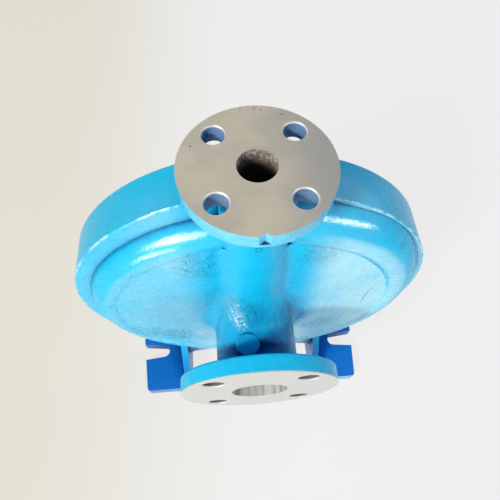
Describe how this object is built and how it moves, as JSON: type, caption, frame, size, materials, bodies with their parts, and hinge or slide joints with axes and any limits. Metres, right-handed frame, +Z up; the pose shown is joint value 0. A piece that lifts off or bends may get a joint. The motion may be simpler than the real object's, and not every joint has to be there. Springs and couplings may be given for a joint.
{
  "type": "volute pump casing",
  "caption": "Cast volute pump casing with a top discharge flange over the shaft axis, a front suction flange on a short neck, a dished front wall and slotted feet.",
  "frame": {"origin": "on the floor plane under the feet, below the crossing of the shaft axis and the discharge axis, midway between the foot slots", "axes": "+X to the right seen from the suction side, +Y to the rear along the shaft axis towards the drive side, +Z up along the discharge axis"},
  "size_m": [0.3582, 0.1556, 0.4254],
  "materials": {
    "painted_casting": "gloss enamel over rough cast iron, bare where machined"
  },
  "bodies": {
    "root": {"volute_casing": "painted_casting"}
  },
  "joints": []
}
